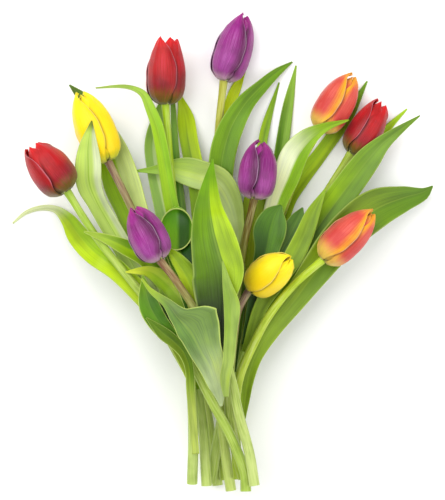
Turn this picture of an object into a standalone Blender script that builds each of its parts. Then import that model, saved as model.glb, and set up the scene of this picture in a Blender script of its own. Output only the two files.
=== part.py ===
"""A loose bunch of ten cut tulips with their leaves, lying on a table.

Every stem, flower and leaf is laid down in turn, like a hand laying a bunch: each piece
rests on whatever already lies under it. Lengths are metres; plan points are millimetres.
"""
import math

import bmesh
import bpy
import numpy as np

# Overall sizes
BUNCH_SPREAD = 1.0        # widens (or narrows) the fan of the bunch across X
BUNCH_LENGTH = 1.0        # stretches the bunch along Y
FLOWER_SCALE = 1.0        # size of every flower head

# Sizes of the pieces
STEM_TOP_RADIUS = 0.0030
STEM_FOOT_RADIUS = 0.0044
LEAF_THICKNESS = 0.0010
LEAF_WIDTH = 1.0          # share of the widths listed with each leaf
LEAF_CHANNEL = 0.22       # rise of a leaf's edges, per half-width
TEPAL_THICKNESS = 0.0008
LAY_CLEARANCE = 0.0007    # air left between one piece and the next laid on it
WHORL_CLEARANCE = 0.0007  # air between the inner petals, the outer petals and the stem
SEAM_GROOVE = 0.05        # depth of the groove where two petals meet, per radius

# Laying grid
CELL = 0.001
GRID_HALF_X, GRID_LOW_Y, GRID_HIGH_Y = 0.27, -0.29, 0.29

MM = 0.001

COLOURS = {
    "stem_green": (0.38, 0.52, 0.10), "stem_brown": (0.33, 0.20, 0.15),
    "leaf_green": (0.19, 0.36, 0.04), "leaf_bright": (0.45, 0.62, 0.02),
    "leaf_pale": (0.52, 0.66, 0.28), "leaf_dark": (0.05, 0.14, 0.02),
    "leaf_grey": (0.24, 0.38, 0.16),
    "petal_red": (0.50, 0.01, 0.03), "petal_purple": (0.35, 0.05, 0.30),
    "petal_yellow": (1.00, 0.76, 0.02), "petal_orange": (0.76, 0.16, 0.08),
}

# Stems, from the cut foot to the flower: (x, y) in millimetres.
# Flowers: tip (x, y), greatest width, colour, turn of the seam in degrees, open mouth 0-1.
TULIPS = {
    "red_top": dict(
        stem=[(-13, -193), (-16, -146), (-21, -110), (-24, -77), (-29, -32), (-36, 9), (-42, 59),
              (-47, 121)],
        tip=(-46, 175), width=31, slot="petal_red", seam=24, mouth=0.75),
    "red_left": dict(
        stem=[(19, -196), (18, -180), (6, -150), (-10, -120), (-22, -96), (-30, -80), (-50, -54),
              (-87, -9), (-104, 13), (-127, 49)],
        tip=(-155, 86), width=33, slot="petal_red", seam=-27, mouth=0.5),
    "red_right": dict(
        stem=[(-10, -191), (2, -126), (14, -85), (32, -44), (55, -1), (78, 36), (106, 81)],
        tip=(132, 122), width=27, slot="petal_red", seam=-21, mouth=0.55),
    "purple_top": dict(
        stem=[(-4, -194), (-11, -145), (-16, -110), (-16, -73), (-12, -32), (-9, 18), (-3, 104),
              (1, 141)],
        tip=(18, 195), width=30, slot="petal_purple", seam=27, mouth=0.15),
    "purple_left": dict(
        stem=[(26, -191), (22, -165), (13, -131), (5, -96), (-10, -67), (-37, -25), (-51, -7)],
        tip=(-72, 35), width=30, slot="petal_purple", seam=19, mouth=0.2),
    "purple_centre": dict(
        stem=[(7, -197), (1, -155), (-1, -122), (3, -81), (11, -40), (17, 3), (23, 30), (26, 43)],
        tip=(32, 90), width=31, slot="petal_purple", seam=-9, mouth=0.15),
    "yellow_left": dict(
        stem=[(-25, -191), (-24, -155), (-25, -122), (-28, -91), (-37, -60), (-51, -28), (-63, 9),
              (-76, 38), (-94, 74)],
        tip=(-117, 130), width=32, slot="petal_yellow", seam=9, mouth=0.2),
    "yellow_right": dict(
        stem=[(17, -186), (12, -168), (8, -148), (5, -125), (6, -101), (9, -73), (13, -48),
              (23, -30)],
        tip=(56, -5), width=30, slot="petal_yellow", seam=15, mouth=0.1),
    "orange_top": dict(
        stem=[(2, -189), (-1, -155), (2, -118), (11, -81), (22, -42), (52, 39), (66, 75),
              (80, 100)],
        tip=(108, 145), width=30, slot="petal_orange", seam=2, mouth=0.1),
    "orange_right": dict(
        stem=[(13, -187), (11, -158), (10, -130), (14, -103), (24, -79), (38, -53), (58, -28),
              (82, -7)],
        tip=(123, 32), width=30, slot="petal_orange", seam=15, mouth=0.1),
}

# Leaves, from the foot to the tip: (x, y, half-width to the left, half-width to the right).
LEAVES = {
    "leaf_far_left_arched": dict(slot="leaf_bright", points=[
        (-24, -110, 2.5, 2.5), (-43, -63, 7.5, 7.5), (-61, -40, 9, 8), (-85, -16, 9, 8),
        (-106, 0, 10, 8.5), (-119, 14, 9.5, 8), (-128, 26, 6, 6), (-138, 34.5, 3, 3),
        (-150, 36, 2, 2), (-163, 32, 1.5, 1.5), (-174, 23, 0.5, 0.5)]),
    "leaf_pale_left": dict(slot="leaf_pale", points=[
        (-25, -105, 3.5, 3.5), (-61, -33, 7.5, 7.5), (-94, 24, 8, 8), (-103, 40, 8, 8),
        (-109, 55, 10.5, 10), (-110, 72, 10.5, 10.5), (-110, 87, 7, 8), (-107, 107, 0.5, 0.5)]),
    "leaf_behind_yellow_left": dict(slot="leaf_green", points=[
        (-22, -114, 3.5, 3.5), (-48, -40, 10, 10), (-74, 34, 14, 12.5), (-83, 57, 15.5, 15),
        (-91, 83, 12.5, 12.5), (-103, 109, 7.5, 7.5), (-115, 126, 5, 5), (-127, 138, 0.5, 0.5)]),
    "leaf_hooked_tip": dict(slot="leaf_green", points=[
        (-22, -89, 3.5, 3.5), (-33, 1, 6.5, 6.5), (-42, 42, 6.5, 5), (-53, 100, 5, 5),
        (-60, 119, 4, 4), (-65, 129, 3, 3), (-73, 134, 2, 2), (-84, 136, 1.5, 1.5),
        (-105, 135, 0.5, 0.5)]),
    "leaf_behind_red_top": dict(slot="leaf_bright", points=[
        (-15, -89, 3.5, 3.5), (-14, -40, 6.5, 6.5), (-20, 50, 7.5, 7.5), (-28, 93, 7.5, 7.5),
        (-30, 110, 7.5, 6.5), (-34, 124, 3, 3), (-38, 134, 0.5, 0.5)]),
    "leaf_straight_dark": dict(slot="leaf_grey", points=[
        (-19, -97, 3.5, 3.5), (-25, -40, 4, 4), (-33, 26, 4, 4), (-38, 75, 3, 3),
        (-41, 122, 2, 2), (-42, 136, 0.5, 0.5)]),
    "leaf_bluish_left": dict(slot="leaf_grey", points=[
        (-22, -99, 3.5, 3.5), (-32, -40, 7.5, 7.5), (-50, 42, 7.5, 7.5), (-56, 68, 6.5, 6.5),
        (-58, 89, 6.5, 6.5), (-54, 109, 5, 5), (-48, 131, 0.5, 0.5)]),
    "leaf_broad_arch": dict(slot="leaf_pale", points=[
        (8, -99, 3.5, 3.5), (13, -32, 6.5, 6.5), (13, -3, 5, 5), (13, 20, 7, 5), (8, 42, 10, 8),
        (-2, 58, 11.5, 10), (-19, 63, 12, 12), (-32, 66, 10.5, 11.5), (-44, 68, 6.5, 7),
        (-58, 67, 3, 3), (-74, 66, 0.5, 0.5)]),
    "leaf_front_centre": dict(slot="leaf_bright", points=[
        (1, -83, 2.5, 1.5), (2, -60, 18, 5), (3, -40, 25, 7.5), (2, -19, 27, 15.5),
        (-3, -3, 22.5, 18), (-8, 16, 18, 16.5), (-11, 38, 11.5, 10.5), (-11, 60, 4, 6),
        (-8, 76, 0.5, 0.5)]),
    "leaf_front_folded": dict(slot="leaf_grey", points=[
        (-1, -126, 1, 1), (-3, -118, 3, 5), (-6, -108, 6, 9), (-11, -94, 8, 14),
        (-18, -81, 9, 18.5), (-25, -68, 9.5, 25.5), (-28, -64, 9.5, 29), (-31, -60, 8.5, 25),
        (-34, -56.5, 7, 17), (-37, -53, 6, 10.5), (-45, -42, 4, 4), (-58, -32, 2, 2),
        (-66, -22, 0.5, 0.5)]),
    "leaf_front_small": dict(slot="leaf_grey", points=[
        (3, -118, 2, 2), (3, -104, 5, 3), (5, -90, 5, 4), (6, -77, 5, 4.5), (6.5, -64, 5, 5.5),
        (7, -44, 6, 7), (4, -28, 4, 4), (0, -8, 0.5, 0.5)]),
    "leaf_yellow_tipped": dict(slot="leaf_pale", points=[
        (-15, -81, 4, 4), (-23, -58, 8, 8), (-35, -38, 10, 7.5), (-49, -23, 7.5, 7.5),
        (-61, -16, 5, 4), (-79, -17, 0.5, 0.5)]),
    "leaf_left_dark_outer": dict(slot="leaf_green", points=[
        (-27, -86, 2.5, 2.5), (-40, -71, 6.5, 5.5), (-52, -57, 9, 7.5), (-60, -42, 8.5, 7.5),
        (-65, -19, 0.5, 0.5)]),
    "leaf_left_dark_inner": dict(slot="leaf_dark", points=[
        (-30, -80, 2.5, 2.5), (-34, -70, 5, 6), (-40, -60, 7, 7.5), (-45, -48, 5.5, 6.5),
        (-51, -30, 0.5, 0.5)]),
    "leaf_left_sheath": dict(slot="leaf_bright", points=[
        (-22, -166, 3, 3), (-24, -138, 3.5, 3), (-26, -112, 3.5, 3.5), (-27, -95, 3.5, 3.5),
        (-31, -83, 4.5, 4.5), (-39, -74, 5, 5), (-49, -66, 5, 5), (-62, -54, 0.5, 0.5)]),
    "leaf_left_pointed": dict(slot="leaf_green", points=[
        (-19, -83, 4, 4), (-31, -50, 7.5, 7.5), (-47, -23, 8, 8), (-62, -6, 7.5, 7.5),
        (-80, 4, 6.5, 6), (-97, 11, 3.5, 3.5), (-113, 16, 0.5, 0.5)]),
    "leaf_yellow_green_centre": dict(slot="leaf_bright", points=[
        (-7, -81, 4, 4), (-14, -60, 8, 10), (-22, -38, 8, 11.5), (-30, -20, 5.5, 10),
        (-39, -6, 3.5, 6.5), (-46, 4, 0.5, 0.5)]),
    "leaf_tall_centre": dict(slot="leaf_green", points=[
        (3, -99, 3.5, 3.5), (3, -56, 7.5, 7.5), (-3, 42, 10.5, 10.5), (-1, 71, 10.5, 10.5),
        (2, 87, 11, 10.5), (8, 104, 10, 10), (19, 122, 8, 7.5), (32, 136, 5.5, 5.5),
        (45, 148, 3.5, 3.5), (58, 157, 0.5, 0.5)]),
    "leaf_behind_purple_top": dict(slot="leaf_bright", points=[
        (-1, -81, 3.5, 3.5), (-5, 42, 4, 4), (-1, 91, 4, 4), (4, 116, 4, 4), (11, 134, 4.5, 4),
        (19, 150, 0.5, 0.5)]),
    "leaf_narrow_centre_right": dict(slot="leaf_bright", points=[
        (14, -93, 3.5, 3.5), (17, -56, 8, 8), (24, 26, 10, 10), (28, 50, 8, 8), (32, 83, 4, 4),
        (36, 104, 3.5, 3.5), (47, 140, 0.5, 0.5)]),
    "leaf_straight_right": dict(slot="leaf_green", points=[
        (19, -91, 3.5, 3.5), (27, -48, 5, 5), (45, 59, 5.5, 5.5), (54, 118, 4.5, 4.5),
        (61, 154, 0.5, 0.5)]),
    "leaf_pale_right": dict(slot="leaf_pale", points=[
        (21, -81, 3.5, 3.5), (36, 1, 8, 7.5), (45, 38, 10, 7.5), (54, 60, 13, 9), (62, 78, 14, 8),
        (72, 91, 11, 5), (85, 101, 5, 2.5), (104, 108, 0.5, 0.5)]),
    "leaf_right_behind_orange": dict(slot="leaf_green", points=[
        (22, -87, 3.5, 3.5), (40, -7, 6.5, 6.5), (54, 40, 6, 6), (65, 60, 7, 7), (80, 79, 6, 6),
        (104, 113, 5, 5), (120, 141, 0.5, 0.5)]),
    "leaf_right_long": dict(slot="leaf_grey", points=[
        (24, -86, 3.5, 3.5), (59, -11, 10, 10), (78, 19, 11.5, 11.5), (108, 60, 11.5, 11.5),
        (121, 77, 10, 10), (132, 89, 6.5, 6.5), (145, 99, 4, 3.5), (163, 112, 0.5, 0.5)]),
    "leaf_right_tip_behind": dict(slot="leaf_bright", points=[
        (22, -89, 2.5, 2.5), (72, 9, 5.5, 5.5), (122, 83, 5, 5), (137, 102, 3, 3),
        (153, 118, 0.5, 0.5)]),
    "leaf_right_big": dict(slot="leaf_grey", points=[
        (17, -138, 2, 2), (18, -124, 5, 4), (21, -105, 8, 5), (27, -86, 9, 6), (40, -64, 8, 8),
        (58, -42, 10.5, 9), (90, 1, 15.5, 14), (106, 19, 16.5, 15.5), (127, 35, 16.5, 15.5),
        (149, 44, 10, 11.5), (166, 49, 3.5, 6.5), (174, 54, 0.5, 0.5)]),
    "leaf_right_middle": dict(slot="leaf_pale", points=[
        (19, -83, 3.5, 3.5), (32, -45, 6, 5.5), (58, -5, 8, 8), (67, 13, 7.5, 7.5),
        (74, 31, 5.5, 6), (85, 52, 0.5, 0.5)]),
    "leaf_spoon_dark": dict(slot="leaf_dark", points=[
        (19, -77, 3.5, 3.5), (31, -19, 7.5, 9), (36, 1, 10, 10.5), (39, 16, 14, 13),
        (43, 29, 10.5, 10), (48, 38, 1, 1)]),
    "leaf_dark_right_behind": dict(slot="leaf_grey", points=[
        (22, -81, 3.5, 3.5), (32, -40, 6.5, 6.5), (45, -7, 8, 8), (56, 14, 8.5, 8),
        (62, 27, 6, 6), (66, 36, 0.5, 0.5)]),
    "leaf_curled_bowl": dict(slot="leaf_dark", channel=0.55, points=[
        (-15, -83, 3.5, 3.5), (-20, -58, 6.5, 6.5), (-32, -10, 11, 10.5), (-36, 8, 13, 12.5),
        (-37.5, 19, 13, 13), (-37.5, 28, 11, 11), (-37.5, 34, 6, 6), (-37.5, 37, 1, 1)]),
}

# The order in which the pieces go down on the table.
LAY_ORDER = [
    "leaf_right_tip_behind", "leaf_right_behind_orange", "leaf_straight_right",
    "leaf_narrow_centre_right", "leaf_behind_purple_top", "purple_top", "orange_top", "red_right",
    "leaf_right_long", "leaf_tall_centre", "leaf_behind_red_top", "leaf_straight_dark",
    "leaf_bluish_left", "leaf_broad_arch", "red_top", "leaf_hooked_tip",
    "leaf_behind_yellow_left", "yellow_left", "leaf_pale_left", "leaf_pale_right",
    "purple_centre", "leaf_dark_right_behind", "leaf_spoon_dark", "leaf_right_middle",
    "leaf_right_big", "orange_right", "yellow_right", "leaf_far_left_arched", "red_left",
    "leaf_left_pointed", "leaf_yellow_tipped", "leaf_curled_bowl", "leaf_yellow_green_centre",
    "purple_left", "leaf_left_dark_inner", "leaf_left_dark_outer", "leaf_left_sheath",
    "leaf_front_centre", "leaf_front_folded", "leaf_front_small",
]

# A closed tulip's outline: (share of its length, share of its greatest radius).
BUD_OUTLINE = [(0.0, 0.34), (0.06, 0.60), (0.17, 0.86), (0.33, 1.0), (0.52, 0.98),
               (0.70, 0.86), (0.85, 0.62), (1.0, 0.22)]


# ------------------------------------------------------------------ paths and laying
def plan_points(points):
    """Millimetre plan points in metres, with the overall sizes applied to x and y."""
    scale = [BUNCH_SPREAD, BUNCH_LENGTH] + [LEAF_WIDTH] * (len(points[0]) - 2)
    return np.array(points, float) * MM * scale


def smooth_path(points, count):
    """Evenly spaced rows on a smooth curve through the points; extra columns ride along."""
    steps = np.linalg.norm(np.diff(points[:, :2], axis=0), axis=1)
    at = np.concatenate([[0.0], np.cumsum(steps)])
    slope = np.empty_like(points)
    slope[1:-1] = (points[2:] - points[:-2]) / (at[2:] - at[:-2])[:, None]
    slope[0] = (points[1] - points[0]) / (at[1] - at[0])
    slope[-1] = (points[-1] - points[-2]) / (at[-1] - at[-2])
    here = np.linspace(0.0, at[-1], count)
    i = np.clip(np.searchsorted(at, here, side="right") - 1, 0, len(at) - 2)
    span = (at[i + 1] - at[i])[:, None]
    u = (here[:, None] - at[i][:, None]) / span
    return ((2 * u**3 - 3 * u**2 + 1) * points[i] + (u**3 - 2 * u**2 + u) * span * slope[i]
            + (3 * u**2 - 2 * u**3) * points[i + 1] + (u**3 - u**2) * span * slope[i + 1])


def side_normals(path):
    """Unit vectors to the left of the path, in plan."""
    along = np.gradient(path[:, :2], axis=0)
    along /= np.linalg.norm(along, axis=1)[:, None]
    return np.column_stack([-along[:, 1], along[:, 0]])


class Heap:
    """Height of everything laid down so far, on a plan grid over the table at z = 0."""

    def __init__(self):
        across = round(2 * GRID_HALF_X / CELL)
        along = round((GRID_HIGH_Y - GRID_LOW_Y) / CELL)
        self.top = np.zeros((across, along))

    def cells(self, points):
        i = np.floor((points[..., 0] + GRID_HALF_X) / CELL).astype(int)
        j = np.floor((points[..., 1] - GRID_LOW_Y) / CELL).astype(int)
        return i, j

    def under(self, points):
        """Highest thing within one cell of each point."""
        i, j = self.cells(points)
        best = self.top[i, j]
        for di in (-1, 0, 1):
            for dj in (-1, 0, 1):
                best = np.maximum(best, self.top[i + di, j + dj])
        return best

    def stamp(self, points):
        i, j = self.cells(points)
        np.maximum.at(self.top, (i, j), points[..., 2] + LAY_CLEARANCE)


def dense(rows, along, across):
    """Points interpolated linearly between the rows and columns of a grid of points."""
    for axis, count in ((0, along), (1, across)):
        old = np.linspace(0, 1, rows.shape[axis])
        new = np.linspace(0, 1, (rows.shape[axis] - 1) * count + 1)
        low = np.clip(np.searchsorted(old, new, side="right") - 1, 0, len(old) - 2)
        part = (new - old[low]) / (old[low + 1] - old[low])
        shape = [1, 1, 1]
        shape[axis] = len(new)
        part = part.reshape(shape)
        rows = np.take(rows, low, axis) * (1 - part) + np.take(rows, low + 1, axis) * part
    return rows


def settle(need, reach):
    """Smallest smooth row heights that stay at or above the needed ones."""
    padded = np.pad(need, 2 * reach, mode="edge")
    width = 2 * reach + 1
    highest = np.array([padded[k:k + width].max() for k in range(len(padded) - width + 1)])
    return np.array([highest[k:k + width].mean() for k in range(len(need))])


def row_needs(heap, sheet, drop, along):
    """Height each row of a sheet needs so that no point between its rows is too low."""
    fine = dense(sheet, along, 6)
    want = (heap.under(fine) + drop - fine[..., 2]).max(axis=1)
    rows = len(sheet)
    return np.array([want[max(0, (r - 1) * along):(r + 1) * along + 1].max() for r in range(rows)])


# ------------------------------------------------------------------ Blender helpers
def material(slot):
    found = bpy.data.materials.get(slot)
    if found:
        return found
    made = bpy.data.materials.new(slot)
    made.use_nodes = True
    shader = made.node_tree.nodes["Principled BSDF"]
    shader.inputs["Base Color"].default_value = (*COLOURS[slot], 1.0)
    shader.inputs["Roughness"].default_value = 0.5
    shader.inputs["Metallic"].default_value = 0.0
    return made


def grid_object(name, points, slot, thickness, wrapped=False):
    """A grid of points as a mesh object with a Solidify thickness, faces outward."""
    rows, columns = points.shape[:2]
    mesh = bpy.data.meshes.new(name)
    bm = bmesh.new()
    bmesh.ops.create_grid(bm, x_segments=columns - 1, y_segments=rows - 1, size=1.0)
    bm.verts.ensure_lookup_table()
    for vert in bm.verts:
        column = round((vert.co.x + 1) / 2 * (columns - 1))
        row = round((vert.co.y + 1) / 2 * (rows - 1))
        vert.co = points[row, column]
    if wrapped:
        bmesh.ops.remove_doubles(bm, verts=bm.verts, dist=1e-6)
    bm.to_mesh(mesh)
    bm.free()
    made = bpy.data.objects.new(name, mesh)
    shell = made.modifiers.new("thickness", "SOLIDIFY")
    shell.thickness = thickness
    shell.offset = 0.0
    shell.use_even_offset = False
    mesh.materials.append(material(slot))
    bunch.objects.link(made)
    return made


def stem_object(name, path, radii, slot):
    """A round stem along a path, with flat cut ends."""
    curve = bpy.data.curves.new(name, "CURVE")
    curve.dimensions = "3D"
    curve.bevel_depth = 1.0
    curve.bevel_resolution = 2
    curve.use_fill_caps = True
    line = curve.splines.new("POLY")
    line.points.add(len(path) - 1)
    for point, place, radius in zip(line.points, path, radii):
        point.co = (*place, 1.0)
        point.radius = radius
    curve.materials.append(material(slot))
    made = bpy.data.objects.new(name, curve)
    bunch.objects.link(made)
    return made


# ------------------------------------------------------------------ leaves
def lay_leaf(heap, name, spec):
    """A leaf blade: a shallow channel that follows its path and rests on the heap."""
    points = plan_points(spec["points"])
    length = np.linalg.norm(np.diff(points[:, :2], axis=0), axis=1).sum()
    rows = 9 + round(length / 0.06)
    path = smooth_path(points, rows)
    halves = np.maximum(path[:, 2:4], 0.0005)
    wide = halves.max() > 0.007
    v = np.linspace(-1, 1, 5 if wide else 3)
    side = side_normals(path)
    reach = np.where(v < 0, -halves[:, :1] * v, halves[:, 1:] * v)
    sheet = np.zeros((rows, len(v), 3))
    sheet[..., :2] = path[:, None, :2] - side[:, None] * (np.sign(v) * reach)[..., None]
    channel = spec.get("channel", LEAF_CHANNEL)
    sheet[..., 2] = channel * reach * np.abs(v) ** 0.6
    drop = LEAF_THICKNESS * 0.62
    need = row_needs(heap, sheet, drop, 10)
    sheet[..., 2] += settle(need, 1)[:, None]
    top = dense(sheet, 40, 16)
    top[..., 2] += drop
    heap.stamp(top)
    return grid_object(name, sheet, spec["slot"], LEAF_THICKNESS)


# ------------------------------------------------------------------ tulips
def whorl_points(length, radius, turn, mouth, inset, least, notch, rows=6, columns=12):
    """Rows of a ring of three petals around +Z, from its foot at z = 0 up to the tips."""
    outline = np.array(BUD_OUTLINE)
    points = np.zeros((rows, columns + 1, 3))
    for column in range(columns + 1):
        angle = turn + 2 * math.pi * column / columns
        edge = (1 - math.cos(3 * (angle - turn))) / 2
        for row in range(rows):
            share = row / (rows - 1) * (1 - notch * edge)
            profile = np.interp(share, outline[:, 0], outline[:, 1])
            profile += mouth * 0.5 * max(0.0, share - 0.55) / 0.45
            out = radius * min(profile, 1.0) * (1 - SEAM_GROOVE * edge**4) - inset
            if share < 0.3:
                out = max(out, least)
            points[row, column] = (out * math.cos(angle), out * math.sin(angle), share * length)
    return points


def lay_tulip(heap, name, spec):
    """A stem with its flower head, laid together so that the head continues the stem."""
    points = plan_points(spec["stem"])
    rows = 17
    path = smooth_path(points, rows)
    base = path[-1, :2]
    tip = plan_points([spec["tip"]])[0]
    heading = (tip - base) / np.linalg.norm(tip - base)
    plan_length = np.linalg.norm(tip - base) * FLOWER_SCALE
    radius = spec["width"] / 2 * MM * FLOWER_SCALE
    radii = np.linspace(STEM_FOOT_RADIUS, STEM_TOP_RADIUS, rows)
    tilt = math.radians(spec.get("tilt", 0))
    length = plan_length / math.cos(tilt)

    # Stem: a strip as wide as the stem, its underside rounded.
    v = np.linspace(-1, 1, 7)
    side = side_normals(path)
    strip = np.zeros((rows, len(v), 3))
    strip[..., :2] = path[:, None, :2] + side[:, None] * (radii[:, None] * v)[..., None]
    round_by = np.sqrt(1 - v**2) * radii[:, None]
    under = strip.copy()
    under[..., 2] = -round_by
    need = row_needs(heap, under, 0.0, 10)

    # Flower: how high its foot must be for the head to clear the heap.
    turn = math.radians(-90 + spec["seam"] + 60)
    step = TEPAL_THICKNESS + WHORL_CLEARANCE
    least = STEM_TOP_RADIUS * 0.8 + WHORL_CLEARANCE + TEPAL_THICKNESS / 2
    outer = whorl_points(length, radius, turn, spec["mouth"], 0.0, least + step, 0.10)
    axis_x = np.array([heading[0] * math.cos(tilt), heading[1] * math.cos(tilt), math.sin(tilt)])
    axis_y = np.array([-heading[1], heading[0], 0.0])
    axis_z = np.cross(axis_x, axis_y)

    def placed(local, foot):
        """Local flower points (petals around +Z) on the laid axis; local -Y faces up."""
        return (foot + local[..., 2:3] * axis_x - local[..., 0:1] * axis_y
                - local[..., 1:2] * axis_z)

    flat_foot = np.array([base[0], base[1], 0.0])
    skin = dense(placed(outer, flat_foot), 12, 10)
    head_need = (heap.under(skin) - skin[..., 2] + TEPAL_THICKNESS * 0.75).max()
    need[-2:] = np.maximum(need[-2:], head_need)
    height = settle(need, 2)
    height[-1] = max(height[-1], head_need)
    foot = np.array([base[0], base[1], height[-1]])

    # Stamp both into the heap.
    top = strip.copy()
    top[..., 2] = height[:, None] + round_by
    heap.stamp(dense(top, 40, 4))
    skin = dense(placed(outer, foot), 12, 16)
    skin[..., 2] += TEPAL_THICKNESS * 0.75
    heap.stamp(skin)

    # The stem runs on inside the flower as the receptacle and the pistil.
    spine = np.column_stack([path[:, :2], height])
    inside = [(0.05, 0.75), (0.10, 0.60), (0.28, 0.72), (0.36, 0.55), (0.42, 0.85), (0.45, 0.80)]
    spine = np.vstack([spine] + [foot + axis_x * length * share for share, _ in inside])
    radii = np.concatenate([radii, [STEM_TOP_RADIUS * part for _, part in inside]])
    stem_slot = spec.get("stem_slot", "stem_green")
    made = [stem_object("stem_" + name, spine, radii, stem_slot)]

    inner = whorl_points(length * 0.90, radius * (1 - SEAM_GROOVE), turn + math.pi / 3,
                         spec["mouth"], step, least, 0.14)
    inner[..., 2] += length * 0.045
    for label, ring in (("outer_tepals_", outer), ("inner_tepals_", inner)):
        made.append(grid_object(label + name, placed(ring, foot), spec["slot"],
                                TEPAL_THICKNESS, wrapped=True))
    return made


# ------------------------------------------------------------------ the bunch
for old in list(bpy.data.objects):
    bpy.data.objects.remove(old, do_unlink=True)
bunch = bpy.data.collections.new("tulip_bunch")
bpy.context.scene.collection.children.link(bunch)

TULIPS["yellow_right"]["tilt"] = 30
for browned in ("yellow_left", "yellow_right", "purple_left", "purple_centre"):
    TULIPS[browned]["stem_slot"] = "stem_brown"

heap = Heap()
for piece in LAY_ORDER:
    if piece in TULIPS:
        lay_tulip(heap, piece, TULIPS[piece])
    else:
        lay_leaf(heap, piece, LEAVES[piece])
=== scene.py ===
"""A loose bunch of ten cut tulips, lying on a pale table and seen from straight above."""
import math

import bpy
import numpy as np
from mathutils import Matrix, Vector


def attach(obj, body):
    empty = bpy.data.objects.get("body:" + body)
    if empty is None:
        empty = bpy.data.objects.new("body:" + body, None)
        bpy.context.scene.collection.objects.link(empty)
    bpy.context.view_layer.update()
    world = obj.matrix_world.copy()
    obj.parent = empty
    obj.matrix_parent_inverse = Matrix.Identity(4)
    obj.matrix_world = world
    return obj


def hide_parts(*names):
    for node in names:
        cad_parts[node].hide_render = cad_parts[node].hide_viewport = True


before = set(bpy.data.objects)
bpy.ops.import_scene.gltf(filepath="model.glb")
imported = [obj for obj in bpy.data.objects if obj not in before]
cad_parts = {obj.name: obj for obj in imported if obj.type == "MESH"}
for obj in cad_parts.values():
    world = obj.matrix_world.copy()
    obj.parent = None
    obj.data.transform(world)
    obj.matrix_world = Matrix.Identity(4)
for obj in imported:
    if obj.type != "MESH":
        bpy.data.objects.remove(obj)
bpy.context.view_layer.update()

# ---------------------------------------------------------------- camera, table and light
# The bunch lies on a pale table top under a large soft lamp, with a second lamp from the
# other side to open the shadows. The camera hangs high above and looks straight down.
CAMERA_HEIGHT = 4.0
CAMERA_SHIFT = 0.001      # moves the view a little towards the flowers
SUBJECT_HEIGHT = 0.045    # middle of the pile, where VIEW_HEIGHT is measured
VIEW_HEIGHT = 0.410
SENSOR = 36.0

camera_data = bpy.data.cameras.new("overhead")
camera_data.sensor_width = SENSOR
camera_data.lens = SENSOR * (CAMERA_HEIGHT - SUBJECT_HEIGHT) / VIEW_HEIGHT
camera = bpy.data.objects.new("overhead", camera_data)
camera.location = (0.0, CAMERA_SHIFT, CAMERA_HEIGHT)
bpy.context.scene.collection.objects.link(camera)
bpy.context.scene.camera = camera


def mesh_object(name, vertices, faces):
    """A new object from plain lists of vertices and faces."""
    mesh = bpy.data.meshes.new(name)
    mesh.from_pydata(vertices, [], faces)
    made = bpy.data.objects.new(name, mesh)
    bpy.context.scene.collection.objects.link(made)
    return made


HALF_TABLE = 3.0
table = mesh_object("table_top", [(-HALF_TABLE, -HALF_TABLE, 0), (HALF_TABLE, -HALF_TABLE, 0),
                                  (HALF_TABLE, HALF_TABLE, 0), (-HALF_TABLE, HALF_TABLE, 0)],
                    [(0, 1, 2, 3)])
table_paint = bpy.data.materials.new("white_table")
table_paint.use_nodes = True
table_shader = table_paint.node_tree.nodes["Principled BSDF"]
table_shader.inputs["Base Color"].default_value = (0.93, 0.93, 0.92, 1.0)
table_shader.inputs["Roughness"].default_value = 0.85
table.data.materials.append(table_paint)


def soft_lamp(name, place, size, watts):
    """A square white area lamp at a place, turned to face the middle of the table."""
    data = bpy.data.lights.new(name, "AREA")
    data.size = size
    data.energy = watts
    lamp = bpy.data.objects.new(name, data)
    lamp.location = place
    lamp.rotation_euler = (-Vector(place)).to_track_quat("-Z", "Y").to_euler()
    bpy.context.scene.collection.objects.link(lamp)


soft_lamp("window_side", (-0.9, 0.9, 2.1), size=2.4, watts=62)
soft_lamp("far_side", (1.5, -0.4, 1.5), size=2.2, watts=26)
room = bpy.data.worlds.new("pale_room")
room.use_nodes = True
room.node_tree.nodes["Background"].inputs["Color"].default_value = (1.0, 1.0, 1.0, 1.0)
room.node_tree.nodes["Background"].inputs["Strength"].default_value = 0.62
bpy.context.scene.world = room
bpy.context.scene.view_settings.view_transform = "Standard"

# ---------------------------------------------------------------- stems
# Each stem is a round, juicy stalk, a little thicker at the cut foot than under the flower,
# pale where it was sheathed by leaves. It was cut with a knife, so its foot is flat.
MM = 0.001
STEM_TOP_RADIUS, STEM_FOOT_RADIUS = 0.0030, 0.0044
STEM_SIDES = 20
STEM_ROWS, STEM_SOUNDINGS = 60, 17      # points along a stem, and heights read from the CAD
STEM_STEP = 0.004                       # length of one segment of the finished tube
SWELLING, SWELLING_STARTS = 0.18, 0.96  # the stem's end widens into the flower's base

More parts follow.
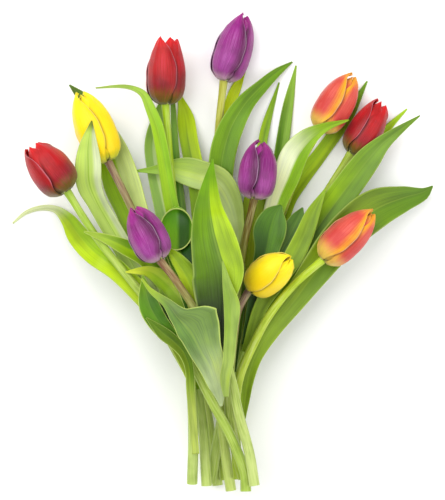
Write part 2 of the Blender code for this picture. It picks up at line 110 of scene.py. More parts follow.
# Points run from the cut foot to the flower, in millimetres; colours are foot, middle, top.
STEMS = {
    "red_top": dict(points=[(-13, -193), (-16, -146), (-21, -110), (-24, -77), (-29, -32),
                            (-36, 9), (-42, 59), (-47, 121)],
                    colours=[(188, 206, 126), (172, 196, 98), (162, 192, 60)]),
    "red_left": dict(points=[(19, -196), (18, -180), (6, -150), (-10, -120), (-22, -96),
                             (-30, -80), (-50, -54), (-87, -9), (-104, 13), (-127, 49)],
                     colours=[(166, 190, 96), (178, 200, 106), (166, 196, 88)]),
    "red_right": dict(points=[(-10, -191), (2, -126), (14, -85), (32, -44), (55, -1), (78, 36),
                              (106, 81)],
                      colours=[(176, 196, 110), (164, 190, 84), (168, 188, 84)]),
    "purple_top": dict(points=[(-4, -194), (-11, -145), (-16, -110), (-16, -73), (-12, -32),
                               (-9, 18), (-3, 104), (1, 141)],
                       colours=[(186, 204, 122), (172, 176, 98), (178, 178, 88)]),
    "purple_left": dict(points=[(26, -191), (22, -165), (13, -131), (5, -96), (-10, -67),
                                (-37, -25), (-51, -7)],
                        colours=[(190, 206, 132), (176, 196, 108), (136, 102, 84)]),
    "purple_centre": dict(points=[(7, -197), (1, -155), (-1, -122), (3, -81), (11, -40), (17, 3),
                                  (23, 30), (26, 43)],
                          colours=[(190, 206, 124), (168, 184, 92), (105, 85, 45)]),
    "yellow_left": dict(points=[(-25, -191), (-24, -155), (-25, -122), (-28, -91), (-37, -60),
                                (-51, -28), (-63, 9), (-76, 38), (-94, 74)],
                        colours=[(186, 206, 126), (172, 196, 104), (142, 112, 98)]),
    "yellow_right": dict(points=[(17, -186), (12, -168), (8, -148), (5, -125), (6, -101),
                                 (9, -73), (13, -48), (23, -30)],
                         colours=[(150, 170, 75), (150, 165, 90), (150, 120, 110)]),
    "orange_top": dict(points=[(2, -189), (-1, -155), (2, -118), (11, -81), (22, -42), (52, 39),
                               (66, 75), (80, 100)],
                       colours=[(160, 178, 88), (156, 182, 74), (200, 195, 84)]),
    "orange_right": dict(points=[(13, -187), (11, -158), (10, -130), (14, -103), (24, -79),
                                 (38, -53), (58, -28), (82, -7)],
                         colours=[(150, 170, 75), (185, 205, 90), (185, 210, 80)]),
}


def smooth_path(points, count):
    """Evenly spaced rows on a smooth curve through the points; extra columns ride along."""
    steps = np.linalg.norm(np.diff(points[:, :2], axis=0), axis=1)
    at = np.concatenate([[0.0], np.cumsum(steps)])
    slope = np.empty_like(points)
    slope[1:-1] = (points[2:] - points[:-2]) / (at[2:] - at[:-2])[:, None]
    slope[0] = (points[1] - points[0]) / (at[1] - at[0])
    slope[-1] = (points[-1] - points[-2]) / (at[-1] - at[-2])
    here = np.linspace(0.0, at[-1], count)
    i = np.clip(np.searchsorted(at, here, side="right") - 1, 0, len(at) - 2)
    span = (at[i + 1] - at[i])[:, None]
    u = (here[:, None] - at[i][:, None]) / span
    return ((2 * u**3 - 3 * u**2 + 1) * points[i] + (u**3 - 2 * u**2 + u) * span * slope[i]
            + (3 * u**2 - 2 * u**3) * points[i + 1] + (u**3 - u**2) * span * slope[i + 1])


def resting_heights(node, path, count, rows):
    """Heights of a CAD piece's upper skin along a plan path, as one smooth run of values."""
    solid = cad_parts[node]
    coarse = np.linspace(0.01, 0.99, rows)
    found = []
    for share in coarse:
        at = share * (count - 1)
        low = min(int(at), count - 2)
        x, y = path[low, :2] + (path[low + 1, :2] - path[low, :2]) * (at - low)
        hit, place, _, _ = solid.ray_cast(Vector((x, y, 1.0)), Vector((0, 0, -1)))
        if hit:
            found.append((share, 0.0, place.z))
    found = np.array(found)
    run = smooth_path(found, 200)
    return np.interp(np.linspace(0, 1, count), run[:, 0], run[:, 2])


class Wire:
    """A node's output that can be used in sums like a number."""

    def __init__(self, socket):
        self.socket = socket

    def sum(self, operation, *others):
        return add(self.socket.id_data, "ShaderNodeMath", {"operation": operation},
                   dict(enumerate((self, *others))))

    def __add__(self, other): return self.sum("ADD", other)
    def __sub__(self, other): return self.sum("SUBTRACT", other)
    def __mul__(self, other): return self.sum("MULTIPLY", other)
    def __truediv__(self, other): return self.sum("DIVIDE", other)
    def __pow__(self, other): return self.sum("POWER", other)
    def __abs__(self): return self.sum("ABSOLUTE")

    def __rsub__(self, other):
        return add(self.socket.id_data, "ShaderNodeMath", {"operation": "SUBTRACT"},
                   {0: other, 1: self})

    def sin(self): return self.sum("SINE")
    def cos(self): return self.sum("COSINE")
    def floor(self): return self.sum("FLOOR")

    def ramp(self, low, high):
        """0 below low, 1 above high, and smooth between."""
        return add(self.socket.id_data, "ShaderNodeMapRange",
                   {"interpolation_type": "SMOOTHSTEP"},
                   {"Value": self, "From Min": low, "From Max": high})


def add(tree, kind, settings=None, values=None, out=0):
    """Adds a node, makes its settings, then fills its sockets with values or links.

    The setting "curve" gives a float curve's points instead of a property."""
    node = tree.nodes.new(kind)
    for key, value in (settings or {}).items():
        if key == "curve":
            line = node.mapping.curves[0]
            while len(line.points) < len(value):
                line.points.new(0.5, 0.5)
            for point, (x, y) in zip(line.points, value):
                point.location = (x, y)
            node.mapping.update()
        else:
            setattr(node, key, value)
    for key, value in (values or {}).items():
        if isinstance(value, Wire):
            tree.links.new(value.socket, node.inputs[key])
        else:
            node.inputs[key].default_value = value
    return Wire(node.outputs[out])


def mix(tree, share, first, second, how="MIX"):
    """Two colours mixed by a share."""
    return add(tree, "ShaderNodeMix", {"data_type": "RGBA", "blend_type": how},
               {0: share, 6: first, 7: second}, out=2)


def stored(tree, name):
    """A value that the mesh carries under a name, read by a shader."""
    return add(tree, "ShaderNodeAttribute", {"attribute_name": name}, out=2)


def vector(tree, *parts):
    """A vector from its parts."""
    return add(tree, "ShaderNodeCombineXYZ", {}, dict(enumerate(parts)))


def noise(tree, at, scale, detail, roughness=0.5):
    """Cloudy values from 0 to 1 at a place; at the object's own place if none is given."""
    at = at or add(tree, "ShaderNodeTexCoord", out=3)
    return add(tree, "ShaderNodeTexNoise", {}, {
        "Vector": at, "Scale": scale, "Detail": detail, "Roughness": roughness})


def coat(tree, shader, colour, height, strength, distance):
    """Gives a shader its colour, and a fine relief from a height."""
    bump = add(tree, "ShaderNodeBump", {}, {
        "Strength": strength, "Distance": distance, "Height": height})
    tree.links.new(colour.socket, shader.inputs["Base Color"])
    tree.links.new(bump.socket, shader.inputs["Normal"])


def store(tree, geometry, name, value):
    """Geometry that carries a value at each point under a name."""
    return add(tree, "GeometryNodeStoreNamedAttribute",
               {"data_type": "FLOAT", "domain": "POINT"},
               {"Geometry": geometry, "Name": name, "Value": value})


GAMMA, BLACK_LIFT = 2.3, 0.015       # from eye colour to linear colour
GAIN, SATURATION = 0.84, 1.12        # keeps the skins from washing out under the lamps


def paint(red, green, blue):
    """An eye colour (0-255 each) as the linear colour that the shader takes."""
    parts = [GAIN * max(0.0, (part / 255) ** GAMMA - BLACK_LIFT) for part in (red, green, blue)]
    grey = sum(parts) / 3
    return (*[max(0.0, grey + SATURATION * (part - grey)) for part in parts], 1.0)


def new_finish(name, roughness, subsurface=0.0, sheen=0.0):
    """A material with a Principled shader whose constant values are set."""
    made = bpy.data.materials.new(name)
    made.use_nodes = True
    shader = made.node_tree.nodes["Principled BSDF"]
    shader.inputs["Roughness"].default_value = roughness
    shader.inputs["Specular IOR Level"].default_value = 0.25
    shader.inputs["Subsurface Weight"].default_value = subsurface
    shader.inputs["Subsurface Radius"].default_value = (0.5, 0.6, 0.2)
    shader.inputs["Subsurface Scale"].default_value = 0.004
    shader.inputs["Sheen Weight"].default_value = sheen
    return made, made.node_tree, shader


def stem_finish(name, colours):
    """Waxy stalk skin: colour runs foot to top, with fine lengthwise streaks."""
    made, tree, shader = new_finish(name, 0.42, subsurface=0.08)
    along, around = stored(tree, "along"), stored(tree, "around")
    foot, middle, top = [paint(*colour) for colour in colours]
    body = mix(tree, along.ramp(0.05, 0.5), foot, middle)
    body = mix(tree, along.ramp(0.6, 0.97), body, top)
    streaks = noise(tree, vector(tree, around * 9.0, along * 5.0), 2.0, 4.0)
    mottle = noise(tree, None, 60.0, 3.0)
    body = mix(tree, streaks.ramp(0.45, 0.7) * 0.45, body, paint(216, 222, 160))
    body = mix(tree, (1.0 - streaks.ramp(0.3, 0.48)) * 0.45, body, paint(150, 165, 90),
               "MULTIPLY")
    body = mix(tree, mottle.ramp(0.45, 0.75) * 0.25, body, paint(175, 185, 120), "MULTIPLY")
    coat(tree, shader, body, streaks, 0.25, 0.0004)
    return made


def geometry_tree(name, inputs):
    """An empty Geometry Nodes tree with a geometry going through and named inputs."""
    tree = bpy.data.node_groups.new(name, "GeometryNodeTree")
    face = tree.interface
    face.new_socket("Geometry", in_out="INPUT", socket_type="NodeSocketGeometry")
    face.new_socket("Geometry", in_out="OUTPUT", socket_type="NodeSocketGeometry")
    for label, kind in inputs.items():
        face.new_socket(label, in_out="INPUT", socket_type="NodeSocket" + kind)
    source = tree.nodes.new("NodeGroupInput")
    wires = {socket.name: Wire(socket) for socket in source.outputs if socket.name}
    return tree, wires


def close_tree(tree, geometry, finish):
    """Ends a tree: real copies, the piece's material, output."""
    real = add(tree, "GeometryNodeRealizeInstances", {}, {0: geometry})
    smooth = add(tree, "GeometryNodeSetShadeSmooth", {}, {0: real})
    done = add(tree, "GeometryNodeSetMaterial", {}, {"Geometry": smooth, "Material": finish})
    end = tree.nodes.new("NodeGroupOutput")
    tree.links.new(done.socket, end.inputs[0])


def grown(name, data, tree, values):
    """Runs a tree on an object's data and keeps the result as a plain mesh object."""
    seed = bpy.data.objects.new(name + "_seed", data)
    bpy.context.scene.collection.objects.link(seed)
    modifier = seed.modifiers.new("grow", "NODES")
    modifier.node_group = tree
    names = {item.name: item.identifier for item in tree.interface.items_tree
             if item.item_type == "SOCKET" and item.in_out == "INPUT"}
    for label, value in values.items():
        modifier[names[label]] = value
    seed.update_tag()
    bpy.context.view_layer.update()
    graph = bpy.context.evaluated_depsgraph_get()
    mesh = bpy.data.meshes.new_from_object(seed.evaluated_get(graph),
                                           preserve_all_data_layers=True, depsgraph=graph)
    bpy.data.objects.remove(seed)
    mesh.name = name
    made = bpy.data.objects.new(name, mesh)
    bpy.context.scene.collection.objects.link(made)
    return made


stalk, wires = geometry_tree("stalk", {"Sides": "Int", "Step": "Float", "Finish": "Material"})
line = add(stalk, "GeometryNodeResampleCurve", {"mode": "LENGTH"},
           {"Curve": wires["Geometry"], "Length": wires["Step"]})
line = store(stalk, line, "along", add(stalk, "GeometryNodeSplineParameter"))
ring = add(stalk, "GeometryNodeCurvePrimitiveCircle", {},
           {"Resolution": wires["Sides"], "Radius": 1.0})
ring = store(stalk, ring, "around", abs(add(stalk, "GeometryNodeSplineParameter") - 0.5))
tube = add(stalk, "GeometryNodeCurveToMesh", {}, {
    "Curve": line, "Profile Curve": ring, "Scale": add(stalk, "GeometryNodeInputRadius"),
    "Fill Caps": True})
close_tree(stalk, tube, wires["Finish"])


def curve_data(name, places, radii):
    """A curve through places, with a radius at each point."""
    data = bpy.data.curves.new(name, "CURVE")
    data.dimensions = "3D"
    spline = data.splines.new("POLY")
    spline.points.add(len(places) - 1)
    for point, place, radius in zip(spline.points, places, radii):
        point.co = (*place, 1.0)
        point.radius = radius
    return data


for name, spec in STEMS.items():
    path = smooth_path(np.array(spec["points"], float) * MM, STEM_ROWS)
    radii = np.linspace(STEM_FOOT_RADIUS, STEM_TOP_RADIUS, STEM_ROWS)
    heights = resting_heights("stem_" + name, path, STEM_ROWS, STEM_SOUNDINGS) - radii
    near_flower = (np.linspace(0, 1, STEM_ROWS) - SWELLING_STARTS) / (1 - SWELLING_STARTS)
    flare = 1 + SWELLING * np.clip(near_flower, 0, 1)
    places = np.column_stack([path[:, :2], heights])
    stem = grown("stalk_" + name, curve_data(name, places, radii * flare), stalk,
                 {"Sides": STEM_SIDES, "Step": STEM_STEP,
                  "Finish": stem_finish("stem_skin_" + name, spec["colours"])})
    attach(stem, "root")
    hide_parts("stem_" + name)
    spec["foot_of_flower"] = places[-1]
    spec["heading"] = places[-1] - places[-3]

# ---------------------------------------------------------------- leaves
# A tulip leaf is one long, thick, waxy blade that clasps the stem at its foot and ends in a
# point. Its veins all run lengthwise, its edges are thin and pale, and it bends like a trough.
LEAF_ROWS, LEAF_COLUMNS = 90, 15
LEAF_THICKNESS = 0.0008
LEAF_SINK = 0.6           # how far the blade's middle lies under the CAD skin, per thickness
LEAF_CHANNEL = 0.22       # rise of the edges, per half-width
LEAF_RIPPLE, LEAF_RIBS = 0.03, 0.006
LEAST_HALF_WIDTH = 0.0003
SOUNDINGS, SOUNDING_EVERY = 9, 0.06     # heights read from the CAD: a few, and more if long

blade, wires = geometry_tree("leaf_blade", {
    "Rows": "Int", "Columns": "Int", "Channel": "Float", "Ripple": "Float", "Ribs": "Float",
    "Finish": "Material"})
grid = add(blade, "GeometryNodeMeshGrid", {}, {"Size X": 1.0, "Size Y": 1.0,
                                               "Vertices X": wires["Rows"],
                                               "Vertices Y": wires["Columns"]})
number = add(blade, "GeometryNodeInputIndex")
row = (number / wires["Columns"] + 0.0001).floor()
column = number - row * wires["Columns"]
across = column / (wires["Columns"] - 1.0) * 2.0 - 1.0
along = row / (wires["Rows"] - 1.0)


def from_spine(name, kind):
    """A value that the spine carries, read at this row."""
    field = add(blade, "GeometryNodeInputNamedAttribute", {"data_type": kind}, {"Name": name})
    return add(blade, "GeometryNodeSampleIndex", {"data_type": kind, "domain": "POINT"},
               {"Geometry": wires["Geometry"], "Value": field, "Index": row})


spine = add(blade, "GeometryNodeSampleIndex", {"data_type": "FLOAT_VECTOR", "domain": "POINT"},
            {"Geometry": wires["Geometry"], "Value": add(blade, "GeometryNodeInputPosition"),
             "Index": row})
to_right = from_spine("to_right", "FLOAT_VECTOR")
is_right = across.ramp(-0.001, 0.001)
half = from_spine("left", "FLOAT") * (1.0 - is_right) + from_spine("right", "FLOAT") * is_right
reach = abs(across) * half
wave = (along * 31.0 + is_right * 2.0).sin() + (along * 53.0 + is_right * 4.0).sin() * 0.5
rise = (reach * wires["Channel"] * abs(across) ** 0.6
        + wave * wires["Ripple"] * across * across * half
        + (across * 26.0).cos() * wires["Ribs"] * half)
outward = add(blade, "ShaderNodeVectorMath", {"operation": "SCALE"},
              {0: to_right, "Scale": across * half})
upward = vector(blade, 0.0, 0.0, rise)
place = add(blade, "ShaderNodeVectorMath", {"operation": "ADD"}, {0: spine, 1: outward})
place = add(blade, "ShaderNodeVectorMath", {"operation": "ADD"}, {0: place, 1: upward})
shaped = add(blade, "GeometryNodeSetPosition", {}, {"Geometry": grid, "Position": place})
for label, value in (("along", along), ("across", across)):
    shaped = store(blade, shaped, label, value)
close_tree(blade, shaped, wires["Finish"])


def leaf_finish(name, spec):
    """Waxy leaf skin: greens that are partly the leaf's own and partly painted light and shade
    on its halves and foot, lengthwise veins, pale thin edges, faint mottling.
    """
    made, tree, shader = new_finish(name, 0.44, subsurface=0.06)
    along, across = stored(tree, "along"), stored(tree, "across")
    greens = {key: paint(*colour) for key, colour in spec["greens"].items()}
    left, right = greens["left"], greens.get("right", greens["left"])
    foot = greens.get("foot", left)
    # The greens of the two halves and of the foot carry painted light and shade as well as the
    # leaf's own colour: a lit half lighter, a shaded half and a foot deep in the bunch darker.
    split = across.ramp(*spec.get("split", (-0.12, 0.12)))
    body = mix(tree, split, left, right)
    low = mix(tree, split, foot, greens.get("foot_right", foot))
    body = mix(tree, along.ramp(*spec.get("foot_ends", (0.25, 0.55))), low, body)
    body = mix(tree, along.ramp(*spec.get("tip_starts", (0.7, 0.97))), body,
               greens.get("tip", right))
    vein_at = vector(tree, across * 17.0, along * 2.5, spec["seed"])
    veins = noise(tree, vein_at, 1.6, 5.0, 0.6)
    fine = (across * 58.0).sin() * 0.5 + 0.5
    mottle = noise(tree, None, 34.0, 2.0)
    drift_at = vector(tree, across * 1.1, along * 3.2, spec["seed"] + 4.0)
    drift = noise(tree, drift_at, 1.0, 2.0)
    body = mix(tree, drift.ramp(0.5, 0.8) * 0.5, body, paint(250, 250, 150), "SOFT_LIGHT")
    body = mix(tree, (1.0 - drift.ramp(0.25, 0.55)) * 0.42, body, paint(120, 135, 70),
               "MULTIPLY")
    body = mix(tree, veins.ramp(0.38, 0.72) * 0.45, body, paint(225, 235, 140), "SOFT_LIGHT")
    body = mix(tree, (1.0 - veins.ramp(0.28, 0.52)) * 0.26, body, paint(110, 130, 60),
               "MULTIPLY")
    body = mix(tree, fine * 0.10, body, paint(240, 245, 200), "SOFT_LIGHT")
    body = mix(tree, mottle.ramp(0.4, 0.7) * 0.22, body, paint(130, 150, 70), "MULTIPLY")
    rim = abs(across).ramp(0.93, 0.995) * spec.get("rim", 0.35)
    body = mix(tree, rim, body, paint(205, 222, 130))
    midrib = (1.0 - abs(across).ramp(0.0, 0.07)) * spec.get("midrib", 0.12)
    body = mix(tree, midrib, body, greens.get("midrib", paint(195, 215, 110)))
    coat(tree, shader, body, veins + fine * 0.25, 0.3, 0.0005)
    return made


# Points run from the foot to the tip: x, y, half-width to the left and to the right, in
# millimetres. The greens of the left and right halves and of the foot are partly each leaf's own
# colour and partly painted light and shade: a half turned to the lamps is painted lighter, a
# half turned away and some feet deep in the bunch are painted darker. foot_ends, tip_starts and
# split say where one green gives way to the next; rim and midrib say how strongly the pale edge
# and the pale middle vein show.
LEAVES = {
    "leaf_far_left_arched": dict(points=[
        (-24, -110, 2.5, 2.5), (-43, -63, 7.5, 7.5), (-61, -40, 9, 8), (-85, -16, 9, 8),
        (-106, 0, 10, 8.5), (-119, 14, 9.5, 8), (-128, 26, 6, 6), (-138, 34.5, 3, 3),
        (-150, 36, 2, 2), (-163, 32, 1.5, 1.5), (-174, 23, 0.5, 0.5)],
        greens=dict(foot=(185, 205, 100), left=(185, 212, 30), right=(160, 195, 20),
                    tip=(222, 230, 190)), tip_starts=(0.76, 0.84), rim=0.6),
    "leaf_pale_left": dict(points=[
        (-25, -105, 3.5, 3.5), (-61, -33, 7.5, 7.5), (-94, 24, 8, 8), (-103, 40, 8, 8),
        (-109, 55, 10.5, 10), (-110, 72, 10.5, 10.5), (-110, 87, 7, 8), (-107, 107, 0.5, 0.5)],
        greens=dict(foot=(195, 215, 140), left=(185, 208, 120), right=(212, 222, 186),
                    midrib=(140, 175, 60), tip=(120, 130, 60)),
        tip_starts=(0.95, 0.99), midrib=0.8, split=(0.25, 0.6)),
    "leaf_behind_yellow_left": dict(points=[
        (-22, -114, 3.5, 3.5), (-48, -40, 10, 10), (-74, 34, 14, 12.5), (-83, 57, 15.5, 15),
        (-91, 83, 12.5, 12.5), (-103, 109, 7.5, 7.5), (-115, 126, 5, 5), (-127, 138, 0.5, 0.5)],
        greens=dict(left=(150, 185, 45), right=(205, 220, 150), tip=(95, 120, 60))),
    "leaf_hooked_tip": dict(points=[
        (-22, -89, 3.5, 3.5), (-33, 1, 6.5, 6.5), (-42, 42, 6.5, 5), (-53, 100, 5, 5),
        (-60, 119, 4, 4), (-65, 129, 3, 3), (-73, 134, 2, 2), (-84, 136, 1.5, 1.5),
        (-105, 135, 0.5, 0.5)],
        greens=dict(foot=(130, 170, 30), left=(150, 185, 60), right=(135, 175, 30),
                    tip=(165, 190, 110))),
    "leaf_behind_red_top": dict(points=[
        (-15, -89, 3.5, 3.5), (-14, -40, 6.5, 6.5), (-20, 50, 7.5, 7.5), (-28, 93, 7.5, 7.5),
        (-30, 110, 7.5, 6.5), (-34, 124, 3, 3), (-38, 134, 0.5, 0.5)],
        greens=dict(left=(130, 160, 30), right=(185, 210, 60), tip=(180, 205, 70))),
    "leaf_straight_dark": dict(points=[
        (-19, -97, 3.5, 3.5), (-25, -40, 4, 4), (-33, 26, 4, 4), (-38, 75, 3, 3),
        (-41, 122, 2, 2), (-42, 136, 0.5, 0.5)],
        greens=dict(left=(95, 135, 60), right=(125, 160, 80))),
    "leaf_bluish_left": dict(points=[
        (-22, -99, 3.5, 3.5), (-32, -40, 7.5, 7.5), (-50, 42, 7.5, 7.5), (-56, 68, 6.5, 6.5),
        (-58, 89, 6.5, 6.5), (-54, 109, 5, 5), (-48, 131, 0.5, 0.5)],
        greens=dict(left=(145, 175, 105), right=(185, 205, 150), tip=(120, 155, 70))),
    "leaf_broad_arch": dict(points=[
        (8, -99, 3.5, 3.5), (13, -32, 6.5, 6.5), (13, -3, 5, 5), (13, 20, 7, 5),
        (8, 42, 10, 8), (-2, 58, 11.5, 10), (-19, 63, 12, 12), (-32, 66, 10.5, 11.5),
        (-44, 68, 6.5, 7), (-58, 67, 3, 3), (-74, 66, 0.5, 0.5)],
        greens=dict(foot=(90, 120, 30), left=(200, 218, 155), right=(185, 205, 130),
                    tip=(150, 185, 90)), foot_ends=(0.25, 0.5), midrib=0.2),
    # Its dark foot and darker left half are painted shade deep in the bunch; its right half is
    # painted lighter.
    "leaf_front_centre": dict(points=[
        (1, -83, 2.5, 1.5), (2, -60, 18, 5), (3, -40, 25, 7.5), (2, -19, 27, 15.5),
        (-3, -3, 22.5, 18), (-8, 16, 18, 16.5), (-11, 38, 11.5, 10.5), (-11, 60, 4, 6),
        (-8, 76, 0.5, 0.5)],
        greens=dict(foot=(54, 66, 10), foot_right=(150, 175, 40), left=(112, 146, 26),
                    right=(175, 205, 48), tip=(120, 165, 35)), foot_ends=(0.15, 0.7),
        split=(0.05, 0.12)),
    "leaf_front_folded": dict(points=[
        (-1, -126, 1, 1), (-3, -118, 3, 5), (-6, -108, 6, 9), (-11, -94, 8, 14),
        (-18, -81, 9, 18.5), (-25, -68, 9.5, 25.5), (-28, -64, 9.5, 29), (-31, -60, 8.5, 25),
        (-34, -56.5, 7, 17), (-37, -53, 6, 10.5), (-45, -42, 4, 4), (-58, -32, 2, 2),
        (-66, -22, 0.5, 0.5)],
        greens=dict(foot=(184, 198, 158), left=(112, 140, 84), right=(122, 146, 92),
                    tip=(165, 190, 80)), foot_ends=(0.12, 0.5), rim=0.7),
    "leaf_front_small": dict(points=[
        (3, -118, 2, 2), (3, -104, 5, 3), (5, -90, 5, 4), (6, -77, 5, 4.5), (6.5, -64, 5, 5.5),
        (7, -44, 6, 7), (4, -28, 4, 4), (0, -8, 0.5, 0.5)],
        greens=dict(foot=(160, 180, 105), left=(138, 164, 84), right=(150, 174, 94))),
    "leaf_yellow_tipped": dict(points=[
        (-15, -81, 4, 4), (-23, -58, 8, 8), (-35, -38, 10, 7.5), (-49, -23, 7.5, 7.5),
        (-61, -16, 5, 4), (-79, -17, 0.5, 0.5)],
        greens=dict(foot=(120, 155, 40), left=(150, 185, 60), right=(185, 208, 90),
                    tip=(205, 215, 90))),
    "leaf_left_dark_outer": dict(points=[
        (-27, -86, 2.5, 2.5), (-40, -71, 6.5, 5.5), (-52, -57, 9, 7.5), (-60, -42, 8.5, 7.5),
        (-65, -19, 0.5, 0.5)],
        greens=dict(left=(100, 140, 30), right=(85, 125, 25), tip=(130, 165, 50)), rim=0.8),
    "leaf_left_dark_inner": dict(points=[
        (-30, -80, 2.5, 2.5), (-34, -70, 5, 6), (-40, -60, 7, 7.5), (-45, -48, 5.5, 6.5),
        (-51, -30, 0.5, 0.5)],
        greens=dict(left=(65, 95, 20), right=(85, 120, 30), tip=(130, 160, 60))),
    "leaf_left_sheath": dict(points=[
        (-22, -166, 3, 3), (-24, -138, 3.5, 3), (-26, -112, 3.5, 3.5), (-27, -95, 3.5, 3.5),
        (-31, -83, 4.5, 4.5), (-39, -74, 5, 5), (-49, -66, 5, 5), (-62, -54, 0.5, 0.5)],
        greens=dict(foot=(176, 190, 112), left=(134, 158, 62), right=(100, 128, 44)), rim=0.6),
    "leaf_left_pointed": dict(points=[
        (-19, -83, 4, 4), (-31, -50, 7.5, 7.5), (-47, -23, 8, 8), (-62, -6, 7.5, 7.5),
        (-80, 4, 6.5, 6), (-97, 11, 3.5, 3.5), (-113, 16, 0.5, 0.5)],
        greens=dict(left=(150, 185, 60), right=(120, 160, 35), tip=(165, 190, 90)), rim=0.9),
    "leaf_yellow_green_centre": dict(points=[
        (-7, -81, 4, 4), (-14, -60, 8, 10), (-22, -38, 8, 11.5), (-30, -20, 5.5, 10),
        (-39, -6, 3.5, 6.5), (-46, 4, 0.5, 0.5)],
        greens=dict(foot=(120, 150, 20), left=(185, 210, 20), right=(150, 180, 20))),
    "leaf_tall_centre": dict(points=[
        (3, -99, 3.5, 3.5), (3, -56, 7.5, 7.5), (-3, 42, 10.5, 10.5), (-1, 71, 10.5, 10.5),
        (2, 87, 11, 10.5), (8, 104, 10, 10), (19, 122, 8, 7.5), (32, 136, 5.5, 5.5),
        (45, 148, 3.5, 3.5), (58, 157, 0.5, 0.5)],
        greens=dict(foot=(75, 110, 25), left=(120, 155, 38), right=(112, 148, 32),
                    tip=(105, 140, 45)), foot_ends=(0.4, 0.7)),
    "leaf_behind_purple_top": dict(points=[
        (-1, -81, 3.5, 3.5), (-5, 42, 4, 4), (-1, 91, 4, 4), (4, 116, 4, 4), (11, 134, 4.5, 4),
        (19, 150, 0.5, 0.5)],
        greens=dict(left=(222, 236, 20), right=(206, 228, 10))),
    "leaf_narrow_centre_right": dict(points=[
        (14, -93, 3.5, 3.5), (17, -56, 8, 8), (24, 26, 10, 10), (28, 50, 8, 8),
        (32, 83, 4, 4), (36, 104, 3.5, 3.5), (47, 140, 0.5, 0.5)],
        greens=dict(foot=(190, 205, 30), left=(175, 205, 30), right=(150, 185, 30),
                    tip=(130, 165, 60)), foot_ends=(0.3, 0.75)),
    "leaf_straight_right": dict(points=[
        (19, -91, 3.5, 3.5), (27, -48, 5, 5), (45, 59, 5.5, 5.5), (54, 118, 4.5, 4.5),
        (61, 154, 0.5, 0.5)],
        greens=dict(left=(110, 150, 50), right=(140, 175, 80))),
    "leaf_pale_right": dict(points=[
        (21, -81, 3.5, 3.5), (36, 1, 8, 7.5), (45, 38, 10, 7.5), (54, 60, 13, 9),
        (62, 78, 14, 8), (72, 91, 11, 5), (85, 101, 5, 2.5), (104, 108, 0.5, 0.5)],
        greens=dict(foot=(110, 150, 30), left=(232, 240, 208), right=(140, 180, 40),
                    tip=(150, 185, 50)), tip_starts=(0.75, 0.9), rim=0.3),
    # Its greens are painted lighter than the leaf's own, to stand for light where the leaf above
    # shades it.
    "leaf_right_behind_orange": dict(points=[
        (22, -87, 3.5, 3.5), (40, -7, 6.5, 6.5), (54, 40, 6, 6), (65, 60, 7, 7),
        (80, 79, 6, 6), (104, 113, 5, 5), (120, 141, 0.5, 0.5)],
        greens=dict(foot=(110, 150, 30), left=(165, 200, 50), right=(180, 210, 60),
                    tip=(115, 155, 60))),
    "leaf_right_long": dict(points=[
        (24, -86, 3.5, 3.5), (59, -11, 10, 10), (78, 19, 11.5, 11.5), (108, 60, 11.5, 11.5),
        (121, 77, 10, 10), (132, 89, 6.5, 6.5), (145, 99, 4, 3.5), (163, 112, 0.5, 0.5)],
        greens=dict(foot=(150, 185, 30), left=(146, 180, 34), right=(116, 148, 62),
                    tip=(118, 148, 72)), foot_ends=(0.2, 0.5), tip_starts=(0.55, 0.8)),
    "leaf_right_tip_behind": dict(points=[
        (22, -89, 2.5, 2.5), (72, 9, 5.5, 5.5), (122, 83, 5, 5), (137, 102, 3, 3),
        (153, 118, 0.5, 0.5)],
        greens=dict(left=(150, 190, 50), right=(165, 200, 60))),
    "leaf_right_big": dict(points=[
        (17, -138, 2, 2), (18, -124, 5, 4), (21, -105, 8, 5), (27, -86, 9, 6), (40, -64, 8, 8),
        (58, -42, 10.5, 9), (90, 1, 15.5, 14), (106, 19, 16.5, 15.5), (127, 35, 16.5, 15.5),
        (149, 44, 10, 11.5), (166, 49, 3.5, 6.5), (174, 54, 0.5, 0.5)],
        greens=dict(foot=(140, 165, 70), left=(128, 150, 60), right=(116, 146, 62),
                    tip=(100, 130, 60)), foot_ends=(0.3, 0.55)),
    "leaf_right_middle": dict(points=[
        (19, -83, 3.5, 3.5), (32, -45, 6, 5.5), (58, -5, 8, 8), (67, 13, 7.5, 7.5),
        (74, 31, 5.5, 6), (85, 52, 0.5, 0.5)],
        greens=dict(left=(148, 175, 75), right=(140, 168, 68))),
    "leaf_spoon_dark": dict(points=[
        (19, -77, 3.5, 3.5), (31, -19, 7.5, 9), (36, 1, 10, 10.5), (39, 16, 14, 13),
        (43, 29, 10.5, 10), (48, 38, 1, 1)],
        greens=dict(left=(68, 98, 48), right=(90, 125, 55), midrib=(135, 170, 45))),
    "leaf_dark_right_behind": dict(points=[
        (22, -81, 3.5, 3.5), (32, -40, 6.5, 6.5), (45, -7, 8, 8), (56, 14, 8.5, 8),
        (62, 27, 6, 6), (66, 36, 0.5, 0.5)],
        greens=dict(left=(115, 145, 80), right=(95, 130, 60))),
    # Its lighter left half and darker right half and foot are painted light and shade, as inside
    # the cup.
    "leaf_curled_bowl": dict(channel=0.15, points=[
        (-15, -83, 3.5, 3.5), (-20, -58, 6.5, 6.5), (-32, -10, 11, 10.5), (-36, 8, 13, 12.5),
        (-37.5, 19, 13, 13), (-37.5, 28, 11, 11), (-37.5, 34, 6, 6), (-37.5, 37, 1, 1)],
        greens=dict(foot=(60, 95, 10), left=(110, 158, 10), right=(55, 90, 8),
                    tip=(120, 165, 20)), rim=1.0),
}

